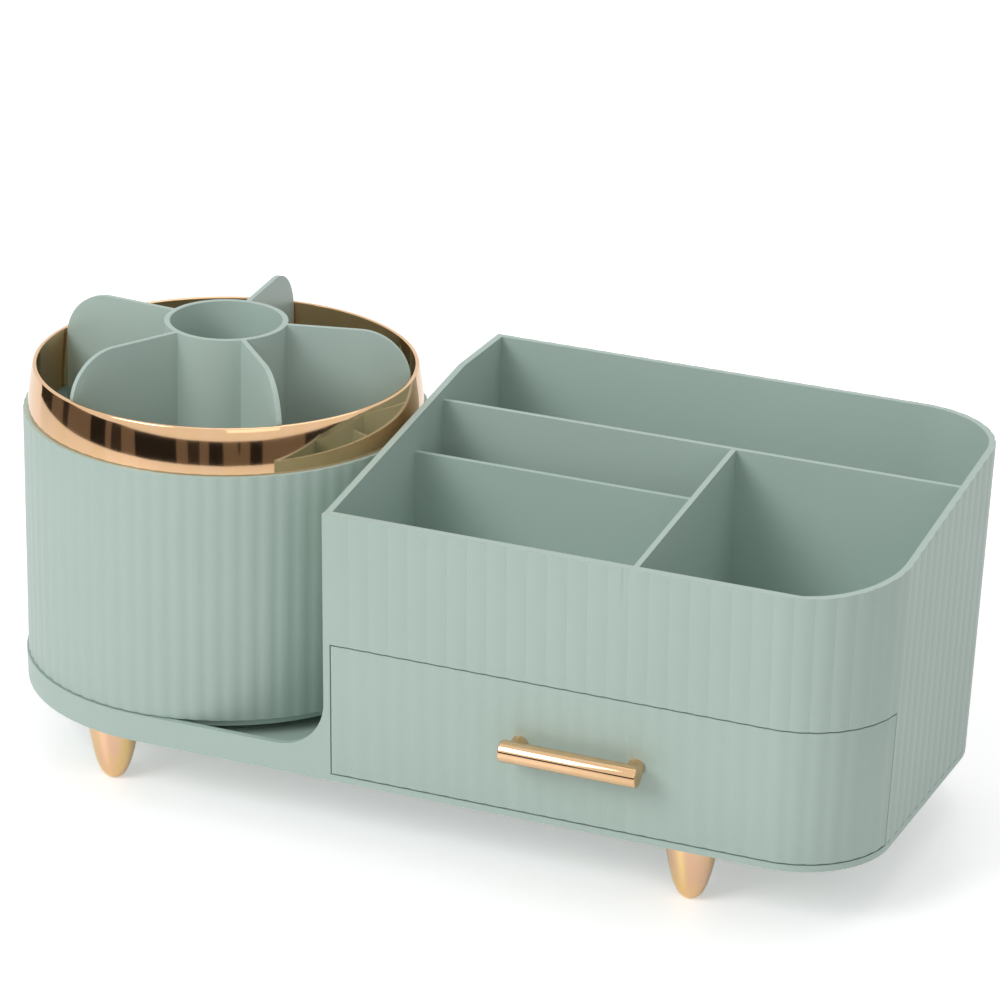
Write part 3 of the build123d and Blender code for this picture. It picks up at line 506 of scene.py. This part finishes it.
# %% [markdown]
# ## Handle
# The pull is a plain polished bar on two stubby posts near its ends. The bar's ends are cut square and broken
# with a small chamfer, which the polishing rolls smooth. It could be spun too, but has no more outline than
# a cylinder, so a cylinder is laid along the drawer and its end edges are bevelled. A post is a spun
# section: it runs straight out of the bar and flares a little where it seats on the drawer. It is turned to
# point backwards and placed. The bar hides the posts, so they are a little slimmer than their solids.

# %% Bar
BAR_SIDES = 96
BAR_BREAK = 0.6
BAR_BREAK_SEGMENTS = 4
BAR_TURN_DEG = 40
bar_low, bar_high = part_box("handle_bar")
bar_middle = (bar_low + bar_high) / 2
bar_length = bar_high.x - bar_low.x
bar_radius = (bar_high.z - bar_low.z) / 2
bpy.ops.object.select_all(action="DESELECT")
bpy.ops.mesh.primitive_cylinder_add(vertices=BAR_SIDES, radius=bar_radius, depth=bar_length,
                                    location=bar_middle, rotation=(0, math.pi / 2, 0))
bar = bpy.context.active_object
bar.name = "pull_bar"
bpy.ops.object.transform_apply(location=True, rotation=True, scale=True)
bevel = bar.modifiers.new("broken_ends", "BEVEL")
bevel.width = BAR_BREAK * MM
bevel.segments = BAR_BREAK_SEGMENTS
bevel.angle_limit = math.radians(BAR_TURN_DEG)
bpy.ops.object.modifier_apply(modifier=bevel.name)
bpy.ops.object.shade_smooth_by_angle(angle=math.radians(METAL_SMOOTH_DEG))
dress(bar, "handle_bar")
print("bar", round(bar_length / MM, 1), "mm long")

# %% Posts
POST_SHARE = 0.8
POST_FLARE = 0.35
FLARE_LENGTH = 1.2
FLARE_SEAT = 0.45
NECK_ROUND = 0.5
SEAT_ROUND = 0.2
POST_STEPS = 72
NECK_CORNER, SEAT_CORNER = 2, 3
posts_low, posts_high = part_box("handle_posts")
solid_radius = (posts_high.z - posts_low.z) / 2
post_radius = POST_SHARE * solid_radius / MM
post_length = (posts_high.y - posts_low.y) / MM
posts = []
for side_name, x in (("left", posts_low.x + solid_radius), ("right", posts_high.x - solid_radius)):
    post = spun("pull_post_" + side_name, [
        (0, 0),
        (post_radius, 0),
        (post_radius, post_length - FLARE_LENGTH),
        (post_radius + POST_FLARE, post_length - FLARE_SEAT),
        (post_radius + POST_FLARE, post_length),
        (0, post_length),
    ], Vector((0, 0, 0)), {NECK_CORNER: NECK_ROUND, SEAT_CORNER: SEAT_ROUND}, POST_STEPS)
    post.rotation_euler = (-math.pi / 2, 0, 0)
    post.location = (x, posts_low.y, bar_middle.z)
    bpy.ops.object.transform_apply(location=True, rotation=True, scale=True)
    posts.append(post)
bpy.ops.object.select_all(action="DESELECT")
for post in posts:
    post.select_set(True)
bpy.context.view_layer.objects.active = posts[0]
bpy.ops.object.join()
posts[0].name = "pull_posts"
dress(posts[0], "handle_posts")
print("posts", round(post_length, 1), "mm long")

# %% [markdown]
# ## Screws with a cross recess
# The frame's screws have plain heads. A real one has a cross-shaped pocket for the driver, which shows on
# the heads under the base and inside the drawer. Insets and extrusions could carve it, but every head has its
# own pattern of faces. So one cutter is made: a flat twelve-cornered cross that is extruded into a tapered
# plug. Each group of screws is copied and separated into single screws, a Boolean modifier sinks the cutter
# into every head, and the screws are joined again.

# %% Cross cutter
CROSS_REACH = 1.5
CROSS_ARM = 0.45
CROSS_CORNERS = 12
CROSS_DEPTH = 1.1
CROSS_PROUD = 0.2
CROSS_TAPER = 0.6
bpy.ops.object.select_all(action="DESELECT")
bpy.ops.mesh.primitive_circle_add(vertices=CROSS_CORNERS, radius=MM, fill_type="NGON")
cutter = bpy.context.active_object
cutter.name = "cross_cutter"
corners = []
for quarter in range(4):
    turn = Matrix.Rotation(quarter * math.pi / 2, 3, "Z")
    for x, y in ((CROSS_REACH, -CROSS_ARM), (CROSS_REACH, CROSS_ARM), (CROSS_ARM, CROSS_ARM)):
        corners.append(turn @ Vector((x, y, 0)) * MM)
for vertex, corner in zip(cutter.data.vertices, corners):
    vertex.co = corner + Vector((0, 0, CROSS_PROUD * MM))
bpy.ops.object.mode_set(mode="EDIT")
bpy.ops.mesh.select_all(action="SELECT")
plunge = (0, 0, -(CROSS_DEPTH + CROSS_PROUD) * MM)
bpy.ops.mesh.extrude_region_move(TRANSFORM_OT_translate={"value": plunge})
bpy.ops.transform.resize(value=(CROSS_TAPER, CROSS_TAPER, 1), center_override=(0, 0, 0))
bpy.ops.mesh.select_all(action="SELECT")
bpy.ops.mesh.normals_make_consistent(inside=False)
bpy.ops.object.mode_set(mode="OBJECT")


# %% Sink it into every head
def recessed(node, outwards):
    """Copy a node of screws and sink a cross into each head, which faces outwards."""
    screws = bpy.data.objects.new(node + "_crossed", frame["nodes"][node].data.copy())
    bpy.context.scene.collection.objects.link(screws)
    only(screws)
    bpy.ops.object.mode_set(mode="EDIT")
    bpy.ops.mesh.select_all(action="SELECT")
    bpy.ops.mesh.remove_doubles(threshold=MERGE_REACH * MM)
    bpy.ops.mesh.separate(type="LOOSE")
    bpy.ops.object.mode_set(mode="OBJECT")
    singles = list(bpy.context.selected_objects)
    for screw in singles:
        middle = sum((vertex.co for vertex in screw.data.vertices), Vector()) / len(screw.data.vertices)
        reach = max((vertex.co - middle).dot(outwards) for vertex in screw.data.vertices)
        cutter.matrix_world = (Matrix.Translation(middle + reach * outwards)
                               @ outwards.to_track_quat("Z", "Y").to_matrix().to_4x4())
        only(screw)
        cut = screw.modifiers.new("cross", "BOOLEAN")
        cut.object = cutter
        cut.operation = "DIFFERENCE"
        bpy.ops.object.modifier_apply(modifier=cut.name)
    for screw in singles:
        screw.select_set(True)
    bpy.ops.object.join()
    joined = bpy.context.active_object
    joined.name = node + "_crossed"
    bpy.ops.object.shade_smooth_by_angle(angle=math.radians(METAL_SMOOTH_DEG))
    dress(joined, node)
    return len(singles)


UP = Vector((0, 0, 1))
BACK = Vector((0, 1, 0))
SCREWS = (    # node, and the way its heads face
    ("base_screws", -UP),
    ("foot_screws", UP),
    ("rail_screws", UP),
    ("drum_screws", UP),
    ("handle_screws", BACK),
)
for node, outwards in SCREWS:
    print(node, recessed(node, outwards), "screws")
bpy.data.objects.remove(cutter)

# %% [markdown]
# ## Stage
# A white table under a white sky, with the light from large soft lamps: one high at the left, where the
# drum's flutes catch it, a wider and weaker one from the right, and a soft one overhead. More light could
# turn the table white, but would bleach the organizer too. So the table glows a little for the camera and for
# mirrors only, and the sky is twice as bright for them as for the light that falls on the organizer. Sizes
# and places on the stage are in metres.

# %% Floor
FLOOR_SIZE = 6.0
FLOOR_LIFT = 0.36
MIRROR_SHARE = 0.6
bpy.ops.object.select_all(action="DESELECT")
bpy.ops.mesh.primitive_plane_add(size=FLOOR_SIZE, location=(0, 0, 0))
floor = bpy.context.active_object
floor.name = "floor"
floor_paint, floor_shader = new_material("white_table", colour("F4F4F4"), Roughness=0.35)[:2]
floor_shader.inputs["Emission Color"].default_value = (1, 1, 1, 1)
floor_rays = add_node(floor_paint, "ShaderNodeLightPath")
mirrored = add_node(floor_paint, "ShaderNodeMath", {"operation": "MULTIPLY"}, {1: MIRROR_SHARE},
                    {0: floor_rays.outputs["Is Glossy Ray"]})
eye_or_mirror = add_node(floor_paint, "ShaderNodeMath", {"operation": "MAXIMUM"}, None,
                         {0: floor_rays.outputs["Is Camera Ray"], 1: mirrored.outputs[0]})
lift = add_node(floor_paint, "ShaderNodeMath", {"operation": "MULTIPLY"}, {1: FLOOR_LIFT},
                {0: eye_or_mirror.outputs[0]})
link(floor_paint, lift.outputs[0], floor_shader.inputs["Emission Strength"])
floor.data.materials.append(floor_paint)
print("floor", FLOOR_SIZE, "m across")

# %% Sky
SKY_ON_ORGANIZER = 0.50
sky = bpy.data.worlds.new("sky")
bpy.context.scene.world = sky
sky.use_nodes = True
sky_light = sky.node_tree.nodes["Background"]
sky_light.inputs["Color"].default_value = (1, 1, 1, 1)
sky_rays = add_node(sky, "ShaderNodeLightPath")
seen = add_node(sky, "ShaderNodeMath", {"operation": "MAXIMUM"}, None,
                {0: sky_rays.outputs["Is Camera Ray"], 1: sky_rays.outputs["Is Glossy Ray"]})
level = add_node(sky, "ShaderNodeMapRange", None, {"To Min": SKY_ON_ORGANIZER, "To Max": 1.0},
                 {"Value": seen.outputs[0]})
link(sky, level.outputs["Result"], sky_light.inputs["Strength"])
print("sky lights the organizer at", SKY_ON_ORGANIZER)

# %% Lamps
LAMP_TARGET = Vector((0, 0, 0.08))


def soft_lamp(name, place, size, watts):
    """Square area lamp that faces the organizer."""
    data = bpy.data.lights.new(name, "AREA")
    data.size = size
    data.energy = watts
    lamp = bpy.data.objects.new(name, data)
    bpy.context.scene.collection.objects.link(lamp)
    lamp.location = place
    lamp.rotation_euler = (LAMP_TARGET - lamp.location).to_track_quat("-Z", "Y").to_euler()
    print(name, watts, "W")


soft_lamp("key_lamp", (-1.05, -1.65, 1.5), 1.2, 27)
soft_lamp("fill_lamp", (1.5, -1.8, 1.0), 1.4, 4)
soft_lamp("top_lamp", (0.2, 0.6, 2.0), 1.5, 8)

# %% [markdown]
# ## The dark of the room
# The plating needs something dark to mirror, or it looks like pale paint. In a real room that is everything
# beyond the edge of the bright table. A darker sky could stand for it, but would dim the whole organizer. So
# a low dark band stands round the drum, in upright patches of black and brown, and is open behind the
# organizer. Only mirror reflections see it.

# %% Dark patches
COLUMN_STRETCH = 0.05        # the patches are this much slower upwards than round the band
PATCHES_PER_METRE = 3.6
BROWN_FROM, UMBER_FROM = 0.47, 0.56
dark, dark_shader, dark_place = new_material("dark_room", colour("000000"), Roughness=1.0)
columns = add_node(dark, "ShaderNodeMapping", None, {"Scale": (1, 1, COLUMN_STRETCH)}, {"Vector": dark_place})
patches = add_node(dark, "ShaderNodeTexNoise", None, {"Scale": PATCHES_PER_METRE, "Detail": 1},
                   {"Vector": columns.outputs["Vector"]})
shades = add_node(dark, "ShaderNodeValToRGB", None, None, {"Fac": patches.outputs["Fac"]})
shades.color_ramp.interpolation = "CONSTANT"
shades.color_ramp.elements[0].color = colour("100D0B")
shades.color_ramp.elements[1].position = BROWN_FROM
shades.color_ramp.elements[1].color = colour("6E655C")
shades.color_ramp.elements.new(UMBER_FROM).color = colour("2B2724")
link(dark, shades.outputs["Color"], dark_shader.inputs["Emission Color"])
dark_shader.inputs["Emission Strength"].default_value = 1.0
print("mixed", dark.name)

# %% Dark band
ROOM_RADIUS = 0.62
ROOM_TOP = 0.122
ROOM_SIDES = 144
ROOM_OPEN_DEG = (35, 168)    # the part behind the organizer that stays bright
bpy.ops.object.select_all(action="DESELECT")
bpy.ops.mesh.primitive_cylinder_add(vertices=ROOM_SIDES, radius=ROOM_RADIUS, depth=ROOM_TOP,
                                    end_fill_type="NOTHING",
                                    location=(ring_middle.x, ring_middle.y, ROOM_TOP / 2))
room = bpy.context.active_object
room.name = "dark_band"
bpy.ops.object.mode_set(mode="EDIT")
bpy.ops.mesh.select_all(action="DESELECT")
band = bmesh.from_edit_mesh(room.data)
for face in band.faces:
    middle = face.calc_center_median()
    face.select = ROOM_OPEN_DEG[0] < math.degrees(math.atan2(middle.y, middle.x)) < ROOM_OPEN_DEG[1]
bmesh.update_edit_mesh(room.data)
bpy.ops.mesh.delete(type="FACE")
bpy.ops.object.mode_set(mode="OBJECT")
room.data.materials.append(dark)
room.visible_camera = False
room.visible_diffuse = False
room.visible_shadow = False
bpy.context.scene.view_settings.view_transform = "Standard"
print("dark band", ROOM_TOP, "m high")
